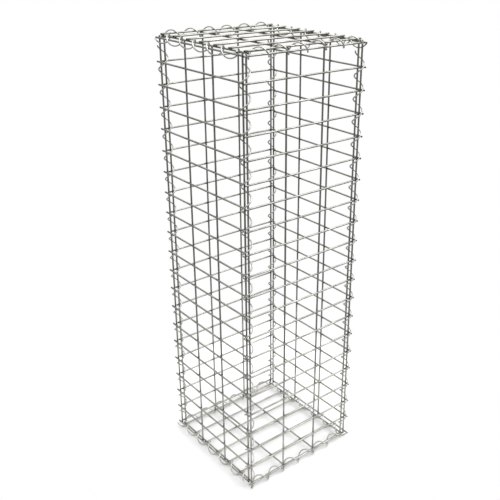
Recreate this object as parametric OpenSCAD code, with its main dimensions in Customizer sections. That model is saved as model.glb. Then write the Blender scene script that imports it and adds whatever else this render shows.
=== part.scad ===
// Gabion basket: six welded-mesh panels laced along all twelve edges
// with screwed-in wire spirals.  It stands empty, lid closed.

/* [Mesh] */
// Cells across each side panel, and the long way across the lid
cells_across = 3; // [2:1:6]
// Cells up each side panel
cells_up = 20; // [4:1:30]
// Width of one cell, centre to centre of the uprights
cell_w = 98; // [80:1:120]
// Height of one cell, centre to centre of the crosswires
cell_h = 50; // [40:1:75]

/* [Wire] */
// Thickness of the mesh wire
wire_d = 4; // [2.5:0.1:5]
// Depth that two crossing wires are melted into each other at a weld
weld_sink = 0.4; // [0.3:0.05:0.6]
// Free end of a crosswire past the first upright
long_stub = 9; // [3:0.5:12]
// Free end of a wire anywhere else
short_stub = 5; // [3:0.5:6]

/* [Spirals] */
// Thickness of the spiral wire
spiral_wire_d = 3; // [2:0.1:4]
// Width across the inside of a spiral
spiral_bore = 16.6; // [15:0.1:24]
// Running gap between a corner spiral and each edge wire inside it
corner_gap = 0.8; // [0.3:0.1:0.9]
// Running gap between a lid or base spiral and the lid or base edge wire
edge_gap = 0.25; // [0.2:0.05:0.6]
// Clear gap between a spiral and each upright that it passes
pass_gap = 0.5; // [0.3:0.1:1]
// How far a lid or base spiral runs out past the first upright
spiral_tail = 9; // [4:0.5:12]

/* [Hidden] */

// Colour of galvanised wire
zinc = [0.62, 0.63, 0.61];

// Mesh wires are eight-sided bars and spiral wires six-sided tubes, each
// with the same section area as the round wire.
bar_sides = 8;
tube_sides = 6;
bar_r = wire_d / 2 * sqrt(PI / (bar_sides / 2 * sin(360 / bar_sides)));
tube_r = spiral_wire_d / 2 * sqrt(PI / (tube_sides / 2 * sin(360 / tube_sides)));
// Straight steps in one turn of a spiral, which stay outside its bore
turn_steps = 12;
step_angle = 360 / turn_steps;
spiral_r = spiral_bore / 2 + spiral_wire_d / 2;
spiral_corner_r = spiral_r / cos(step_angle / 2);

// Centre distance of the two layers of a welded panel
layer = wire_d - weld_sink;
// Room across the inside of a spiral for the centres of two wires
bore_room = spiral_bore - wire_d;
// Two edge wires stand one behind the other in each corner spiral
edge_step = bore_room - 2 * corner_gap;

// Side panels: distance of the uprights' plane from the middle
panel_w = cells_across * cell_w;
plane = (panel_w + edge_step) / 2;
first_upright = -plane;
last_upright = first_upright + panel_w;
crosswire_plane = plane + layer;

// Lid and base are cut from the same mesh, with twice as many narrow cells
// one way as wide cells the other way.
narrow_cell = cell_w / 2;
lid_half = panel_w / 2;
lid_in = crosswire_plane - lid_half;
outer_gap_room = bore_room - 2 * edge_gap;
// Rise of the lid's outer layer over the top crosswire, so that both wires
// just fit in one spiral, and of its inner layer
outer_rise = sqrt(pow(outer_gap_room, 2) - pow(lid_in, 2));
inner_rise = outer_rise - layer;

// Spirals round the outer layer's edge wires sit tight between both wires,
// and those round the inner layer's hang on both
outer_seat = spiral_seat(outer_rise);
inner_seat = spiral_seat(inner_rise);

// Height of the lowest crosswire: all four base spirals touch the floor
foot = outer_seat[1] + spiral_corner_r + tube_r;
head = foot + cells_up * cell_h;

// Corner spirals make one turn in each cell, and cross the level of the
// crosswires at one of two angles where no wire is in their way
corner_phase = 178;
other_corner_phase = 2;
corner_room = spiral_corner_r + tube_r + spiral_wire_d;

// Lid and base spirals make one turn in each narrow cell.  Lid spirals slant
// past each upright with a small gap beside it.  Base spirals do so at the
// ends of the base's outer wires, with a little more room, and then cross the
// uprights' plane nearly half a turn before each upright.
edge_slope = atan2(narrow_cell, 2 * PI * spiral_r);
lid_pass = (wire_d / 2 + spiral_wire_d / 2 + pass_gap) / cos(edge_slope);
base_room = 2;
base_turn = acos((layer - outer_seat[0]) / spiral_r) + asin((outer_rise - outer_seat[1]) / spiral_r);
base_pass = edge_step / 2 + lid_pass + base_room + (base_turn / 360 - 1) * narrow_cell;

// Lowest axis of a spiral that holds the end crosswire and an edge wire this
// much higher, measured inwards from the crosswires' plane and up from them
function spiral_seat(rise) =
    let (
        apart = norm([lid_in, rise]),
        reach = bore_room / 2 - edge_gap,
        hang = sqrt(max(0, pow(reach, 2) - pow(apart / 2, 2))) / apart
    )
    [lid_in / 2 + rise * hang, rise / 2 - lid_in * hang];

// One straight mesh wire along X, flats facing the other layer
module wire_x(from, to) {
    translate([from, 0, 0])
        rotate([0, 90, 0])
            rotate([0, 0, 180 / bar_sides])
                cylinder(h = to - from, r = bar_r, $fn = bar_sides);
}

module wire_y(from, to) {
    rotate([0, 0, 90])
        wire_x(from, to);
}

module wire_z(from, to) {
    translate([0, 0, from])
        rotate([0, 0, 180 / bar_sides])
            cylinder(h = to - from, r = bar_r, $fn = bar_sides);
}

// Side panel as it stands at the front: uprights inside, crosswires outside
module side_panel() {
    color(zinc)
        union() {
            for (i = [0:cells_across])
                translate([first_upright + i * cell_w, -plane, 0])
                    wire_z(foot - short_stub, head + short_stub);
            for (k = [0:cells_up])
                translate([0, -crosswire_plane, foot + k * cell_h])
                    wire_x(first_upright - long_stub, last_upright + short_stub);
        }
}

// Lid with its narrow-spaced wires on top, its inner layer at height 0
module flat_panel() {
    color(zinc)
        union() {
            for (i = [0:cells_across])
                translate([-lid_half + i * cell_w, 0, 0])
                    wire_y(-lid_half - short_stub, lid_half + short_stub);
            for (k = [0:2 * cells_across])
                translate([0, -lid_half + k * narrow_cell, layer])
                    wire_x(-lid_half - short_stub, lid_half + short_stub);
        }
}

// Right-handed spiral of six-sided wire round the Z axis.  At angle a it is
// a / 360 pitches up; first and last count the straight steps.
module spiral(pitch, first, last) {
    rise_per_degree = pitch / 360;
    slope = atan2(pitch, 360 * spiral_r * PI / 180);
    rings = last - first + 1;
    points = [
        for (s = [first:last], j = [0:tube_sides - 1])
            let (
                a = s * step_angle,
                t = j * 360 / tube_sides,
                out = spiral_corner_r + tube_r * cos(t),
                side = tube_r * sin(t)
            )
            [
                out * cos(a) + side * sin(slope) * sin(a),
                out * sin(a) - side * sin(slope) * cos(a),
                a * rise_per_degree + side * cos(slope)
            ]
    ];
    walls = [
        for (s = [0:rings - 2], j = [0:tube_sides - 1])
            let (k = (j + 1) % tube_sides)
            each [
                [s * tube_sides + j, s * tube_sides + k, (s + 1) * tube_sides + k],
                [s * tube_sides + j, (s + 1) * tube_sides + k, (s + 1) * tube_sides + j]
            ]
    ];
    start = [for (j = [tube_sides - 1:-1:0]) j];
    end = [for (j = [0:tube_sides - 1]) (rings - 1) * tube_sides + j];
    color(zinc)
        polyhedron(points = points, faces = concat([start], walls, [end]), convexity = 10);
}

// Corner spiral at the first upright of the front panel
module corner_spiral(phase) {
    low = foot - outer_seat[1] + corner_room;
    high = head + inner_seat[1] - corner_room;
    level = foot - phase / 360 * cell_h;
    translate([-plane, -plane + edge_step / 2, level])
        spiral(
            cell_h,
            ceil((low - level) / cell_h * turn_steps),
            floor((high - level) / cell_h * turn_steps)
        );
}

// Spiral along the front edge, seat inwards and up from the end crosswire.
// It passes each upright below its axis (below = 1) or above it (below = -1),
// and to the right of the upright by "beside".
module edge_spiral(seat, below, beside) {
    meet = -below * acos((layer - seat[0]) / spiral_r);
    start = first_upright + beside - meet / 360 * narrow_cell;
    first = ceil((first_upright - spiral_tail - start) / narrow_cell * turn_steps);
    // It stops short of the spiral that starts at the next corner
    stop = crosswire_plane - inner_seat[0] - corner_room;
    last = floor((stop - start) / narrow_cell * turn_steps);
    translate([start, -crosswire_plane + seat[0], seat[1]])
        rotate([90, 0, 90])
            spiral(narrow_cell, first, last);
}

module top_spiral(seat) {
    translate([0, 0, head])
        edge_spiral(seat, 1, lid_pass);
}

module bottom_spiral() {
    translate([0, 0, foot])
        edge_spiral([outer_seat[0], -outer_seat[1]], -1, base_pass);
}

// Turns a piece made at the front round to another side
module at_front() { children(); }
module at_right() { rotate([0, 0, 90]) children(); }
module at_back() { rotate([0, 0, 180]) children(); }
module at_left() { rotate([0, 0, -90]) children(); }

module front_panel() { at_front() side_panel(); }
module right_panel() { at_right() side_panel(); }
module back_panel() { at_back() side_panel(); }
module left_panel() { at_left() side_panel(); }
module lid() { translate([0, 0, head + inner_rise]) flat_panel(); }
module base() { translate([0, 0, foot - inner_rise]) mirror([0, 0, 1]) flat_panel(); }

module front_left_corner_spiral() { at_front() corner_spiral(corner_phase); }
module front_right_corner_spiral() { at_right() corner_spiral(corner_phase); }
module back_right_corner_spiral() { at_back() corner_spiral(corner_phase); }
module back_left_corner_spiral() { at_left() corner_spiral(other_corner_phase); }

module front_top_spiral() { at_front() top_spiral(outer_seat); }
module right_top_spiral() { at_right() top_spiral(inner_seat); }
module back_top_spiral() { at_back() top_spiral(outer_seat); }
module left_top_spiral() { at_left() top_spiral(inner_seat); }
module front_bottom_spiral() { at_front() bottom_spiral(); }
module right_bottom_spiral() { at_right() bottom_spiral(); }
module back_bottom_spiral() { at_back() bottom_spiral(); }
module left_bottom_spiral() { at_left() bottom_spiral(); }

front_panel();
right_panel();
back_panel();
left_panel();
lid();
base();
front_left_corner_spiral();
front_right_corner_spiral();
back_right_corner_spiral();
back_left_corner_spiral();
front_top_spiral();
right_top_spiral();
back_top_spiral();
left_top_spiral();
front_bottom_spiral();
right_bottom_spiral();
back_bottom_spiral();
left_bottom_spiral();
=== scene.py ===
"""Empty gabion basket: six panels of welded wire, laced along all twelve edges with wire spirals."""
import math

import bpy
import numpy as np
from bpy.props import FloatProperty, FloatVectorProperty, IntProperty, PointerProperty
from mathutils import Matrix, Vector


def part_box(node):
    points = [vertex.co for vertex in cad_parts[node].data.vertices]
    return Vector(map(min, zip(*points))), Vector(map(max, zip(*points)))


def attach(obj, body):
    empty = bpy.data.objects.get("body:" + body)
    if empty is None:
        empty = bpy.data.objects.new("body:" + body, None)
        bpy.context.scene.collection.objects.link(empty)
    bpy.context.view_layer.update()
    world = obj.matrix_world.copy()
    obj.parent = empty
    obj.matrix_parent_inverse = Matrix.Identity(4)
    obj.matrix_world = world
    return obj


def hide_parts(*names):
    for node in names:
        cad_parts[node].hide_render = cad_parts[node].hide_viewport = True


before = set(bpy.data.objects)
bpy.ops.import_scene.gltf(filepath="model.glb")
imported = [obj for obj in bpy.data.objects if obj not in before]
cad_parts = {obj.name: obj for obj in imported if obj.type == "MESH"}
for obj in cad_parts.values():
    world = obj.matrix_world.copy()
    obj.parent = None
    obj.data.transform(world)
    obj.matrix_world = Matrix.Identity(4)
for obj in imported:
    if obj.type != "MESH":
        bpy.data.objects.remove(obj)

bl_info = {
    "name": "Gabion basket",
    "version": (1, 0, 0),
    "blender": (4, 5, 0),
    "location": "View3D > Sidebar > Gabion",
    "description": "Builds the wires and the stage of an empty gabion basket around its frame",
    "category": "Object",
}

BODY = "root"
SIDES = ("front", "right", "back", "left")
CORNERS = ("front_left", "front_right", "back_right", "back_left")

# Wires: points round one, its narrowing at the ends, the slant of a cut, and the
# shift of the finish from one wire to the next
MESH_SIDES = 16
SPIRAL_SIDES = 12
END_WIDTH = 0.88
CUT_SLANT = 0.35
FINISH_SHIFT = 1.7
# Step along an upright and along a crosswire, and the last one at each end
UPRIGHT_STEP = 0.012
CROSSWIRE_STEP = 0.008
END_STEP = 0.0003
# Share of the stray that a panel's edge wires have, and shares of it in the
# level and in the slant of a crosswire
EDGE_STRAY = 0.35
LEVEL_STRAY = 0.7
SLANT_STRAY = 0.6
# Shares of the bulge that the lid and the base have
LID_BULGE = 0.6
BASE_BULGE = 0.3
# Weld beads, in wire radii: reach, reach added at the open corners, and height
BEAD_REACH = 0.92
BEAD_CORNER = 0.5
BEAD_HEIGHT = 0.42
BEAD_POLE = 0.45 * np.pi
# Scorching beside a weld: its depth, and how far it runs in wire thicknesses
SCORCH_DEPTH = 0.55
SCORCH_RUN = 1.6
# Steps in a turn of a spiral, its last step, and how far it keeps inside the frame
TURN_STEPS = 48
SPIRAL_END_STEP = 0.0004
SPIRAL_EASE = 0.00005
# Shortest and longest wave of a spiral's wobble, in turns
WAVE_TURNS = (3.1, 4.7)
# Finish: repeats to the metre across and along the wire
CLOUD_REPEATS = (160, 160, 26)
CRYSTAL_REPEATS = (900, 900, 520)
DRAW_LINE_REPEATS = (2600, 2600, 40)
PIT_REPEATS = (500, 500, 240)
# How much the crystals show, and the levels between which dull zinc turns clean
CRYSTAL_SHOW = 0.16
CLOUD_RANGE = (0.36, 0.66)
# Relief of the draw lines and of the pits: strength and depth
DRAW_LINES = (0.25, 0.00006)
PITS = (0.22, 0.00012)
# Colours of the scorched welds and of the cut ends
SCORCHED_STEEL = (0.07, 0.062, 0.052, 1)
CUT_STEEL = (0.08, 0.066, 0.055, 1)
# Roughness of dull and of clean zinc
DULL_ROUGH = 0.46
CLEAN_ROUGH = 0.26
# Half the side of the floor sheet
FLOOR_HALF = 0.45
# Heights, as sines, between which the walls brighten
DIM_BELOW = 0.1
BRIGHT_ABOVE = 0.8


# ---------------------------------------------------------------- settings


class MeshWireSettings(bpy.types.PropertyGroup):
    """Sizes and colours of the welded mesh; its zinc colours are set darker than real zinc, as painted
    shade.
    """

    cells_across: IntProperty(
        name="Cells across", description="Cells across each side panel", default=3, min=2
    )
    cells_up: IntProperty(name="Cells up", description="Cells up each side panel", default=20, min=4)
    wire_d: FloatProperty(
        name="Wire", description="Thickness of the mesh wire", default=0.004, unit="LENGTH"
    )
    weld_sink: FloatProperty(
        name="Weld depth",
        description="How far crossing wires are melted together",
        default=0.0004,
        unit="LENGTH",
    )
    long_stub: FloatProperty(
        name="Long ends",
        description="Free end of a crosswire past the first upright",
        default=0.009,
        unit="LENGTH",
    )
    short_stub: FloatProperty(
        name="Short ends", description="Free end anywhere else", default=0.005, unit="LENGTH"
    )
    bulge: FloatProperty(
        name="Bulge", description="Most that a panel bows out in its middle", default=0.0014, unit="LENGTH"
    )
    stray: FloatProperty(
        name="Stray", description="How far a wire wanders from its true line", default=0.0006, unit="LENGTH"
    )
    # Both zinc colours are set darker than real zinc, as painted shade for dark surroundings; the mix
    # between them is the coating's own random tone.
    dull_zinc_with_painted_light: FloatVectorProperty(
        name="Dark zinc",
        description="Dull patches of the coating",
        default=(0.27, 0.266, 0.238),
        subtype="COLOR",
    )
    clean_zinc_with_painted_light: FloatVectorProperty(
        name="Bright zinc",
        description="Clean patches of the coating",
        default=(0.42, 0.42, 0.39),
        subtype="COLOR",
    )


class SpiralSettings(bpy.types.PropertyGroup):
    """Sizes and colours of the lacing spirals; their zinc colours are set lighter than the mesh's, as
    painted highlight.
    """

    wire_d: FloatProperty(
        name="Wire", description="Thickness of the spiral wire", default=0.003, unit="LENGTH"
    )
    wobble: FloatProperty(
        name="Wobble",
        description="How far a turn runs ahead or behind, as an angle",
        default=0.05,
        subtype="ANGLE",
    )
    # Both zinc colours are set lighter than the mesh's, as painted highlight; the mix between them is the
    # coating's own random tone.
    dull_zinc_with_painted_light: FloatVectorProperty(
        name="Dark zinc",
        description="Dull patches of the coating",
        default=(0.42, 0.42, 0.395),
        subtype="COLOR",
    )
    clean_zinc_with_painted_light: FloatVectorProperty(
        name="Bright zinc",
        description="Clean patches of the coating",
        default=(0.62, 0.62, 0.60),
        subtype="COLOR",
    )


class StageSettings(bpy.types.PropertyGroup):
    """Floor, lights and camera."""

    floor_colour: FloatVectorProperty(
        name="Floor", description="Colour of the floor", default=(0.80, 0.80, 0.80), subtype="COLOR"
    )
    wall_level: FloatProperty(
        name="Walls", description="Light from the walls at eye level", default=0.32, min=0
    )
    sky_level: FloatProperty(name="Overhead", description="Light from overhead", default=1.65, min=0)
    light_level: FloatProperty(
        name="Soft light", description="Strength of the soft light", default=1.5, min=0
    )
    light_spread: FloatProperty(
        name="Spread",
        description="How wide the soft light looks",
        default=math.radians(45),
        subtype="ANGLE",
    )
    light_place: FloatVectorProperty(
        name="Light place",
        description="Where the soft light hangs",
        default=(1.7, -1.3, 2.1),
        unit="LENGTH",
    )
    eye: FloatVectorProperty(
        name="Camera place",
        description="Where the camera stands",
        default=(-0.967, -1.234, 1.228),
        unit="LENGTH",
    )
    heading: FloatProperty(
        name="Heading",
        description="Turn of the camera from the X axis",
        default=math.radians(49.28),
        subtype="ANGLE",
    )
    dip: FloatProperty(
        name="Dip",
        description="How far the camera looks down",
        default=math.radians(23.74),
        subtype="ANGLE",
    )
    roll: FloatProperty(
        name="Roll",
        description="Tilt of the camera about its line of sight",
        default=math.radians(0.76),
        subtype="ANGLE",
    )
    lens: FloatProperty(
        name="Lens", description="Focal length on a 36 mm sensor, in millimetres", default=51.79
    )
    slide: FloatVectorProperty(
        name="Slide",
        description="Sideways and upward slide of the lens, in frames",
        size=2,
        default=(-0.083, -0.006),
    )


# ---------------------------------------------------------------- surfaces


def tubes(paths, radius, sides, up, start):
    """Round wires swept along their centre lines, all at once.

    Each row of paths is one wire, and each of its points carries a ring: the
    point plus radius × (cos t × side + sin t × out), where side is the
    tangent crossed with up, and out is side crossed with the tangent.  The
    first and last ring are a little narrower and slanted, as a cutter leaves
    them.  The finish follows each wire's own cross-section and length.
    """
    along = np.gradient(paths, axis=1)
    along /= np.linalg.norm(along, axis=2, keepdims=True)
    side = np.cross(along, np.broadcast_to(up, paths.shape))
    side /= np.linalg.norm(side, axis=2, keepdims=True)
    out = np.cross(side, along)
    count, rings = paths.shape[:2]
    width = np.full(rings, radius)
    width[[0, -1]] *= END_WIDTH
    turn = np.arange(sides) * 2 * np.pi / sides
    round_side = width[:, None] * np.cos(turn)
    round_out = width[:, None] * np.sin(turn)
    points = (
        paths[:, :, None]
        + round_side[None, :, :, None] * side[:, :, None]
        + round_out[None, :, :, None] * out[:, :, None]
    )
    slant = np.zeros(rings)
    slant[[0, -1]] = CUT_SLANT
    points += (slant[:, None] * round_side)[None, :, :, None] * along[:, :, None]

    travelled = np.zeros((count, rings))
    travelled[:, 1:] = np.cumsum(np.linalg.norm(np.diff(paths, axis=1), axis=2), axis=1)
    travelled += start + np.arange(count)[:, None] * FINISH_SHIFT
    place = np.stack(
        [
            np.broadcast_to(round_side, (count, rings, sides)),
            np.broadcast_to(round_out, (count, rings, sides)),
            np.broadcast_to(travelled[:, :, None], (count, rings, sides)),
        ],
        axis=-1,
    )
    end = np.zeros((count, rings, sides))
    end[:, [0, -1]] = 1

    index = np.arange(count * rings * sides).reshape(count, rings, sides)
    after = np.roll(index, -1, axis=2)
    quads = np.stack([index[:, :-1], index[:, 1:], after[:, 1:], after[:, :-1]], axis=-1).reshape(-1, 4)
    caps = np.concatenate([index[:, 0], index[:, -1, ::-1]])
    return {
        "points": points.reshape(-1, 3),
        "place": place.reshape(-1, 3),
        "cut_end": end.ravel(),
        "weld": np.zeros(end.size),
        "smooth": quads,
        "flat": caps,
    }


def beads(centres, across, along, radius, start, rows=4, columns=12):
    """Weld beads squeezed out between crossing wires.

    Each is a flat lens: (cos a × across + sin a × along) × cos b × reach,
    plus sin b × height out of the panel.  The reach is about the wire's
    radius, and half as much again towards the four open corners, as it
    grows with the size of sin 2a.
    """
    out = np.cross(across, along)
    a = np.arange(columns) * 2 * np.pi / columns
    b = np.linspace(-BEAD_POLE, BEAD_POLE, rows)
    reach = radius * (BEAD_REACH + BEAD_CORNER * np.abs(np.sin(2 * a)))
    flat = np.cos(b)[:, None] * reach
    lens = (
        (flat * np.cos(a))[..., None] * across
        + (flat * np.sin(a))[..., None] * along
        + (np.sin(b)[:, None] * np.full(columns, radius * BEAD_HEIGHT))[..., None] * out
    )
    points = centres[:, None, None] + lens[None]
    count = len(centres)
    index = np.arange(count * rows * columns).reshape(count, rows, columns)
    after = np.roll(index, -1, axis=2)
    quads = np.stack([index[:, :-1], after[:, :-1], after[:, 1:], index[:, 1:]], axis=-1).reshape(-1, 4)
    size = index.size
    return {
        "points": points.reshape(-1, 3),
        "place": points.reshape(-1, 3) + start,
        "cut_end": np.zeros(size),
        "weld": np.ones(size),
        "smooth": quads,
        "flat": np.concatenate([index[:, 0, ::-1], index[:, -1]]),
    }


def add_piece(name, parts, material, node):
    """Joins surfaces into one mesh object that stands for a frame node."""
    offsets = np.cumsum([0] + [len(part["points"]) for part in parts[:-1]])
    faces = []
    smooth = []
    for part, offset in zip(parts, offsets):
        for kind in ("smooth", "flat"):
            faces += (part[kind] + offset).tolist()
            smooth += [kind == "smooth"] * len(part[kind])
    mesh = bpy.data.meshes.new(name)
    mesh.from_pydata(np.concatenate([part["points"] for part in parts]).tolist(), [], faces)
    mesh.polygons.foreach_set("use_smooth", smooth)
    place = mesh.attributes.new("wire_place", "FLOAT_VECTOR", "POINT")
    place.data.foreach_set("vector", np.concatenate([part["place"] for part in parts]).ravel())
    for key in ("cut_end", "weld"):
        attribute = mesh.attributes.new(key, "FLOAT", "POINT")
        attribute.data.foreach_set("value", np.concatenate([part[key] for part in parts]))
    mesh.validate()
    mesh.materials.append(material)
    piece = bpy.data.objects.new(name, mesh)
    bpy.context.scene.collection.objects.link(piece)
    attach(piece, BODY)
    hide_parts(node)


# ---------------------------------------------------------------- materials


def zinc_wire(name, dark, bright):
    """Drawn steel wire with a zinc coating.

    The pattern follows the wire: fine lines run along it, cloudy patches
    change its tone, small crystals catch the light, welds are scorched and
    cut ends show bare steel.  The dark and bright colours given also set
    the overall level, which holds painted shade on the mesh and painted
    highlight on the spirals.
    """
    material = bpy.data.materials.new(name)
    material.use_nodes = True
    nodes = material.node_tree.nodes
    links = material.node_tree.links
    shader = nodes["Principled BSDF"]
    shader.inputs["Metallic"].default_value = 1.0

    place = nodes.new("ShaderNodeAttribute")
    place.attribute_name = "wire_place"

    def pattern(kind, stretch, **values):
        """A texture node on the wire's own coordinates, stretched along it."""
        mapping = nodes.new("ShaderNodeMapping")
        mapping.inputs["Scale"].default_value = stretch
        links.new(place.outputs["Vector"], mapping.inputs["Vector"])
        texture = nodes.new(kind)
        for key, value in values.items():
            texture.inputs[key].default_value = value
        links.new(mapping.outputs["Vector"], texture.inputs["Vector"])
        return texture

    def mix(factor, first, second, blend="MIX"):
        """A colour mix, where each of the three is a socket or a plain value."""
        node = nodes.new("ShaderNodeMix")
        node.data_type = "RGBA"
        node.blend_type = blend
        for socket, value in ((node.inputs[0], factor), (node.inputs[6], first), (node.inputs[7], second)):
            if isinstance(value, bpy.types.NodeSocket):
                links.new(value, socket)
            else:
                socket.default_value = value
        return node.outputs[2]

    def ramp(source, low, high):
        """A straight ramp from 0 at low to 1 at high."""
        node = nodes.new("ShaderNodeMapRange")
        node.inputs["From Min"].default_value = low
        node.inputs["From Max"].default_value = high
        links.new(source, node.inputs["Value"])
        return node.outputs["Result"]

    clouds = pattern("ShaderNodeTexNoise", CLOUD_REPEATS, Scale=1.0, Detail=4.0, Roughness=0.6)
    crystals = pattern("ShaderNodeTexVoronoi", CRYSTAL_REPEATS, Scale=1.0)
    lines = pattern("ShaderNodeTexNoise", DRAW_LINE_REPEATS, Scale=1.0, Detail=2.0)
    pits = pattern("ShaderNodeTexNoise", PIT_REPEATS, Scale=1.0, Detail=3.0)

    tone = ramp(clouds.outputs["Fac"], *CLOUD_RANGE)
    body = mix(tone, (*dark, 1), (*bright, 1))
    grey = nodes.new("ShaderNodeRGBToBW")
    links.new(crystals.outputs["Color"], grey.inputs["Color"])
    spangled = mix(CRYSTAL_SHOW, body, grey.outputs["Val"], "OVERLAY")

    weld = nodes.new("ShaderNodeAttribute")
    weld.attribute_name = "weld"
    scorched = mix(weld.outputs["Fac"], spangled, SCORCHED_STEEL)
    cut_end = nodes.new("ShaderNodeAttribute")
    cut_end.attribute_name = "cut_end"
    bare = mix(cut_end.outputs["Fac"], scorched, CUT_STEEL)
    links.new(bare, shader.inputs["Base Color"])

    rough = nodes.new("ShaderNodeMapRange")
    rough.inputs["To Min"].default_value = DULL_ROUGH
    rough.inputs["To Max"].default_value = CLEAN_ROUGH
    links.new(tone, rough.inputs["Value"])
    links.new(rough.outputs["Result"], shader.inputs["Roughness"])

    relief = None
    for texture, (strength, depth) in ((lines, DRAW_LINES), (pits, PITS)):
        bump = nodes.new("ShaderNodeBump")
        bump.inputs["Strength"].default_value = strength
        bump.inputs["Distance"].default_value = depth
        links.new(texture.outputs["Fac"], bump.inputs["Height"])
        if relief:
            links.new(relief, bump.inputs["Normal"])
        relief = bump.outputs["Normal"]
    links.new(relief, shader.inputs["Normal"])
    return material


def floor_paint(colour):
    """Smooth pale paper."""
    material = bpy.data.materials.new("floor_paper")
    material.use_nodes = True
    shader = material.node_tree.nodes["Principled BSDF"]
    shader.inputs["Base Color"].default_value = (*colour, 1)
    shader.inputs["Roughness"].default_value = 0.85
    shader.inputs["Specular IOR Level"].default_value = 0.15
    return material


# ---------------------------------------------------------------- the mesh


def wander(rng, count, share, amount):
    """Small smooth strays, one row a wire: two sine waves of random size and start."""
    waves = np.arange(1, 3)
    size = rng.normal(0, 1, (count, 1, waves.size)) / waves
    phase = rng.uniform(0, 2 * np.pi, (count, 1, waves.size))
    return amount * np.sum(size * np.sin(np.pi * waves * share[None, :, None] + phase), axis=2) / 2


def wire_steps(low, high, pace, end_step=END_STEP):
    """Places along a straight wire, with one more close to each end."""
    inner = np.linspace(low + end_step, high - end_step, max(2, round((high - low) / pace)))
    return np.concatenate([[low], inner, [high]])


def welded_panel(name, node, uprights, crosswires, upright_ends, cross_ends, place, layer, bulge, seed):
    """One welded panel.

    Uprights stand at the given places in the inner layer and crosswires in
    the outer one.  Every wire strays a little in the panel's own plane, and
    the whole panel bows outwards by bulge × sin × sin of its two shares, so
    that crossing wires stay on each other.
    """
    wires = bpy.context.scene.gabion_mesh
    radius = wires.wire_d / 2
    rng = np.random.default_rng(seed)
    wide = (uprights[0], uprights[-1])
    tall = (crosswires[0], crosswires[-1])

    def share(value, span):
        """How far along a span a value lies, from 0 to 1."""
        return np.clip((value - span[0]) / (span[1] - span[0]), 0, 1)

    def bow(u, v):
        """How far the panel bows outwards at a place on it."""
        return bulge * np.sin(np.pi * share(u, wide)) * np.sin(np.pi * share(v, tall))

    v = wire_steps(*upright_ends, UPRIGHT_STEP)
    u = wire_steps(*cross_ends, CROSSWIRE_STEP)
    edge = np.ones(len(uprights))
    edge[[0, -1]] = EDGE_STRAY
    up_stray = wander(rng, len(uprights), share(v, tall), wires.stray) * edge[:, None]
    rim = np.ones(len(crosswires))
    rim[[0, -1]] = EDGE_STRAY
    cross_stray = (
        wander(rng, len(crosswires), share(u, wide), wires.stray)
        + rng.normal(0, wires.stray * LEVEL_STRAY, (len(crosswires), 1))
        + rng.normal(0, wires.stray * SLANT_STRAY, (len(crosswires), 1)) * (share(u, wide) - 0.5)
    ) * rim[:, None]

    stand_u = uprights[:, None] + up_stray
    stand_v = np.broadcast_to(v, stand_u.shape)
    lie_v = crosswires[:, None] + cross_stray
    lie_u = np.broadcast_to(u, lie_v.shape)
    stand = place(stand_u, stand_v, bow(stand_u, stand_v))
    lie = place(lie_u, lie_v, bow(lie_u, lie_v) + layer)

    near_v = np.array([np.interp(uprights, u, row) for row in cross_stray]) + crosswires[:, None]
    near_u = np.array([np.interp(crosswires, v, row) for row in up_stray]).T + uprights[None]
    joints = place(near_u, near_v, bow(near_u, near_v) + layer / 2).reshape(-1, 3)

    origin = place(0.0, 0.0, 0.0)
    across = place(1.0, 0.0, 0.0) - origin
    upward = place(0.0, 1.0, 0.0) - origin
    outward = place(0.0, 0.0, 1.0) - origin

    standing = tubes(stand, radius, MESH_SIDES, outward, seed)
    lying = tubes(lie, radius, MESH_SIDES, outward, seed + 0.5)
    for part, lines, axis in ((standing, crosswires, upward), (lying, uprights, across)):
        run = (part["points"] - origin) @ axis
        nearest = np.abs(run[:, None] - lines[None]).min(axis=1)
        part["weld"] = SCORCH_DEPTH * np.exp(-((nearest / (SCORCH_RUN * wires.wire_d)) ** 2))
    parts = [standing, lying, beads(joints, across, upward, radius, seed)]
    # The mesh's zinc colours carry painted shade: they are darker than real zinc.
    add_piece(name, parts, bpy.data.materials["mesh_wire_zinc_painted_shade"], node)


def side_frame():
    """Places of the side panels' wires, from the front panel's box."""
    wires = bpy.context.scene.gabion_mesh
    low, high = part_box("front_panel")
    layer = wires.wire_d - wires.weld_sink
    middle = -(low.y + high.y) / 2
    return {
        "layer": layer,
        "uprights": np.linspace(low.x + wires.long_stub, high.x - wires.short_stub, wires.cells_across + 1),
        "crosswires": np.linspace(low.z + wires.short_stub, high.z - wires.short_stub, wires.cells_up + 1),
        "across": (low.x, high.x),
        "up": (low.z, high.z),
        "plane": middle - layer / 2,
    }


class GABION_OT_side_panels(bpy.types.Operator):
    """Make the four welded side panels"""

    bl_idname = "gabion.side_panels"
    bl_label = "Side panels"

    def execute(self, context):
        sizes = side_frame()
        for k, side in enumerate(SIDES):
            turn = np.array(Matrix.Rotation(k * math.pi / 2, 3, "Z"))

            def place(u, v, n, turn=turn):
                """Across, up and out on the front panel, turned round to this side."""
                front = np.stack(np.broadcast_arrays(u, -sizes["plane"] - n, v), axis=-1)
                return front @ turn.T

            welded_panel(
                f"{side}_wires",
                f"{side}_panel",
                sizes["uprights"],
                sizes["crosswires"],
                sizes["up"],
                sizes["across"],
                place,
                sizes["layer"],
                context.scene.gabion_mesh.bulge,
                seed=10 + k,
            )
        return {"FINISHED"}


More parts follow.
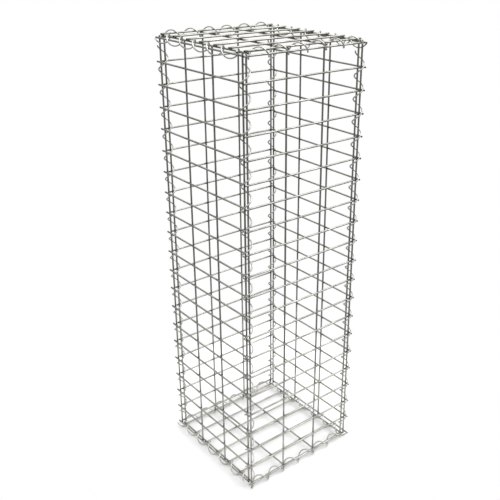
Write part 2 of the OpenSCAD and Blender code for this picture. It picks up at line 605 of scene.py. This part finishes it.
class GABION_OT_lid_and_base(bpy.types.Operator):
    """Make the welded lid and base, whose close-set wires lie outside"""

    bl_idname = "gabion.lid_and_base"
    bl_label = "Lid and base"

    def execute(self, context):
        wires = context.scene.gabion_mesh
        layer = wires.wire_d - wires.weld_sink
        for k, (node, out) in enumerate((("lid", 1), ("base", -1))):
            low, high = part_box(node)
            level = (low.z + high.z) / 2 - out * layer / 2

            def place(u, v, n, level=level, out=out):
                """Across, along and out on a flat panel at its own level."""
                return np.stack(np.broadcast_arrays(u, v, level + out * n), axis=-1)

            half = high.x - wires.short_stub
            welded_panel(
                f"{node}_wires",
                node,
                np.linspace(-half, half, wires.cells_across + 1),
                np.linspace(-half, half, 2 * wires.cells_across + 1),
                (low.y, high.y),
                (low.x, high.x),
                place,
                layer,
                wires.bulge * (BASE_BULGE if out < 0 else LID_BULGE),
                seed=20 + k,
            )
        return {"FINISHED"}


# ---------------------------------------------------------------- the spirals


def read_spiral(node, axis, pitch):
    """Centre, outer radius, ends and starting angle of a frame node's spiral.

    Its angle, counted from the next axis towards the one after, grows by a
    turn for each pitch, so that the angle at 0 is the mean over all points
    of the angle less the turns made so far.
    """
    low, high = (np.array(corner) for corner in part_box(node))
    side, out = (axis + 1) % 3, (axis + 2) % 3
    centre = (low + high) / 2
    points = np.array([v.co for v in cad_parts[node].data.vertices])
    angle = np.arctan2(points[:, out] - centre[out], points[:, side] - centre[side])
    lead = angle - 2 * np.pi * points[:, axis] / pitch
    return {
        "centre": centre,
        "radius": (high[side] - low[side]) / 2,
        "ends": (low[axis], high[axis]),
        "angle": np.arctan2(np.sin(lead).mean(), np.cos(lead).mean()),
    }


def lacing_spiral(name, node, axis, pitch, seed):
    """One right-handed wire spiral.

    A point lies at centre + radius × (cos a × side + sin a × out) + run ×
    axis, where a is the starting angle plus a turn for each pitch, and a
    slow sine wave makes some turns run ahead or behind.
    """
    coils = bpy.context.scene.gabion_spirals
    found = read_spiral(node, axis, pitch)
    side, out = (axis + 1) % 3, (axis + 2) % 3
    wire_r = coils.wire_d / 2
    radius = found["radius"] - wire_r - SPIRAL_EASE
    rng = np.random.default_rng(seed)
    low, high = found["ends"][0] + wire_r, found["ends"][1] - wire_r
    turns = (high - low) / pitch
    end_step = SPIRAL_END_STEP / (turns * 6.28 * radius)
    run = low + (high - low) * wire_steps(0, 1, 1 / (turns * TURN_STEPS), end_step)
    wave = np.sin(2 * np.pi * (run - low) / (pitch * rng.uniform(*WAVE_TURNS)) + rng.uniform(0, 6.28))
    angle = found["angle"] + 2 * np.pi * run / pitch + coils.wobble * wave
    path = np.empty((1, run.size, 3))
    path[0, :, axis] = run
    path[0, :, side] = found["centre"][side] + radius * np.cos(angle)
    path[0, :, out] = found["centre"][out] + radius * np.sin(angle)
    part = tubes(path, wire_r, SPIRAL_SIDES, np.eye(3)[axis], seed)
    # The spiral's zinc colours carry painted highlight: they are lighter than the mesh's.
    add_piece(name, [part], bpy.data.materials["spiral_wire_zinc_painted_highlight"], node)


def cell_height():
    """Height of one cell, from the side panels' crosswires."""
    crosswires = side_frame()["crosswires"]
    return crosswires[1] - crosswires[0]


def narrow_cell():
    """Half the width of a cell, from the side panels' uprights."""
    uprights = side_frame()["uprights"]
    return (uprights[1] - uprights[0]) / 2


class GABION_OT_corner_spirals(bpy.types.Operator):
    """Wind the four upright spirals, one turn a cell"""

    bl_idname = "gabion.corner_spirals"
    bl_label = "Corner spirals"

    def execute(self, context):
        for k, corner in enumerate(CORNERS):
            lacing_spiral(f"{corner}_corner_coil", f"{corner}_corner_spiral", 2, cell_height(), 30 + k)
        return {"FINISHED"}


class GABION_OT_edge_spirals(bpy.types.Operator):
    """Wind the eight level spirals round the lid and the base, one turn a narrow cell"""

    bl_idname = "gabion.edge_spirals"
    bl_label = "Lid and base spirals"

    def execute(self, context):
        for k, side in enumerate(SIDES):
            for j, level in enumerate(("top", "bottom")):
                node = f"{side}_{level}_spiral"
                lacing_spiral(f"{side}_{level}_coil", node, k % 2, narrow_cell(), 40 + 2 * k + j)
        return {"FINISHED"}


# ---------------------------------------------------------------- the stage


def soft_light(strength, spread, place):
    """A wide soft light that shines from a place towards the basket's foot."""
    lamp = bpy.data.lights.new("soft_light", "SUN")
    lamp.energy = strength
    lamp.angle = spread
    light = bpy.data.objects.new("soft_light", lamp)
    bpy.context.scene.collection.objects.link(light)
    turn = (-Vector(place)).to_track_quat("-Z", "Y").to_matrix().to_4x4()
    light.matrix_world = Matrix.Translation(place) @ turn


def surroundings(low, high):
    """Studio walls, dim at eye level and bright overhead, that show as pale as the floor."""
    world = bpy.data.worlds.new("studio")
    world.use_nodes = True
    bpy.context.scene.world = world
    nodes = world.node_tree.nodes
    links = world.node_tree.links
    background = nodes["Background"]
    background.inputs["Color"].default_value = (1, 1, 1, 1)
    seen = nodes.new("ShaderNodeLightPath")
    way = nodes.new("ShaderNodeTexCoord")
    split = nodes.new("ShaderNodeSeparateXYZ")
    links.new(way.outputs["Generated"], split.inputs["Vector"])
    glow = nodes.new("ShaderNodeMapRange")
    glow.interpolation_type = "SMOOTHSTEP"
    glow.inputs["From Min"].default_value = DIM_BELOW
    glow.inputs["From Max"].default_value = BRIGHT_ABOVE
    glow.inputs["To Min"].default_value = low
    glow.inputs["To Max"].default_value = high
    links.new(split.outputs["Z"], glow.inputs["Value"])
    strength = nodes.new("ShaderNodeMapRange")
    strength.inputs["To Max"].default_value = 1.0
    links.new(seen.outputs["Is Camera Ray"], strength.inputs["Value"])
    links.new(glow.outputs["Result"], strength.inputs["To Min"])
    links.new(strength.outputs["Result"], background.inputs["Strength"])


class GABION_OT_stage(bpy.types.Operator):
    """Lay the floor, hang the lights and set up the camera"""

    bl_idname = "gabion.stage"
    bl_label = "Stage"

    def execute(self, context):
        stage = context.scene.gabion_stage
        corners = [(x * FLOOR_HALF, y * FLOOR_HALF, 0) for x, y in ((-1, -1), (1, -1), (1, 1), (-1, 1))]
        mesh = bpy.data.meshes.new("floor")
        mesh.from_pydata(corners, [], [(0, 1, 2, 3)])
        mesh.materials.append(floor_paint(stage.floor_colour))
        floor = bpy.data.objects.new("floor", mesh)
        context.scene.collection.objects.link(floor)

        surroundings(stage.wall_level, stage.sky_level)
        soft_light(stage.light_level, stage.light_spread, stage.light_place)
        context.scene.view_settings.view_transform = "Standard"

        lens = bpy.data.cameras.new("camera")
        lens.lens = stage.lens
        lens.sensor_width = 36
        lens.clip_start = 0.05
        lens.shift_x, lens.shift_y = stage.slide
        camera = bpy.data.objects.new("camera", lens)
        context.scene.collection.objects.link(camera)
        turn = Matrix.Rotation(stage.heading - math.pi / 2, 4, "Z")
        tip = Matrix.Rotation(math.pi / 2 - stage.dip, 4, "X")
        roll = Matrix.Rotation(stage.roll, 4, "Z")
        camera.matrix_world = Matrix.Translation(stage.eye) @ turn @ tip @ roll
        context.scene.camera = camera
        return {"FINISHED"}


class GABION_OT_materials(bpy.types.Operator):
    """Mix the zinc finishes of both kinds of wire, the mesh's darkened as painted shade and the spirals'
    lightened as painted highlight
    """

    bl_idname = "gabion.materials"
    bl_label = "Zinc finishes"

    def execute(self, context):
        wires = context.scene.gabion_mesh
        coils = context.scene.gabion_spirals
        # The mesh's zinc is darkened as painted shade and the spirals' lightened as painted highlight;
        # their cloudy patches are real random tone.
        zinc_wire("mesh_wire_zinc_painted_shade", wires.dull_zinc_with_painted_light, wires.clean_zinc_with_painted_light)
        zinc_wire("spiral_wire_zinc_painted_highlight", coils.dull_zinc_with_painted_light, coils.clean_zinc_with_painted_light)
        return {"FINISHED"}


# ---------------------------------------------------------------- the add-on


class GABION_PT_panel(bpy.types.Panel):
    """Lists the basket's pieces"""

    bl_idname = "GABION_PT_panel"
    bl_label = "Gabion basket"
    bl_space_type = "VIEW_3D"
    bl_region_type = "UI"
    bl_category = "Gabion"

    def draw(self, context):
        for operator in OPERATORS:
            self.layout.operator(operator.bl_idname)
        scene = context.scene
        for settings in (scene.gabion_mesh, scene.gabion_spirals, scene.gabion_stage):
            box = self.layout.box()
            for key in settings.bl_rna.properties.keys():
                if key not in ("rna_type", "name"):
                    box.prop(settings, key)


OPERATORS = (
    GABION_OT_materials,
    GABION_OT_side_panels,
    GABION_OT_lid_and_base,
    GABION_OT_corner_spirals,
    GABION_OT_edge_spirals,
    GABION_OT_stage,
)
CLASSES = (MeshWireSettings, SpiralSettings, StageSettings, *OPERATORS, GABION_PT_panel)


def register():
    """Registers the classes and hangs the settings on the scene."""
    for cls in CLASSES:
        bpy.utils.register_class(cls)
    bpy.types.Scene.gabion_mesh = PointerProperty(type=MeshWireSettings)
    bpy.types.Scene.gabion_spirals = PointerProperty(type=SpiralSettings)
    bpy.types.Scene.gabion_stage = PointerProperty(type=StageSettings)


def unregister():
    """Takes away what register made."""
    del bpy.types.Scene.gabion_mesh
    del bpy.types.Scene.gabion_spirals
    del bpy.types.Scene.gabion_stage
    for cls in reversed(CLASSES):
        bpy.utils.unregister_class(cls)


def main():
    """Makes the whole basket."""
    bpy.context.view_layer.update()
    register()
    bpy.ops.gabion.materials()
    bpy.ops.gabion.side_panels()
    bpy.ops.gabion.lid_and_base()
    bpy.ops.gabion.corner_spirals()
    bpy.ops.gabion.edge_spirals()
    bpy.ops.gabion.stage()


if __name__ == "__main__":
    main()
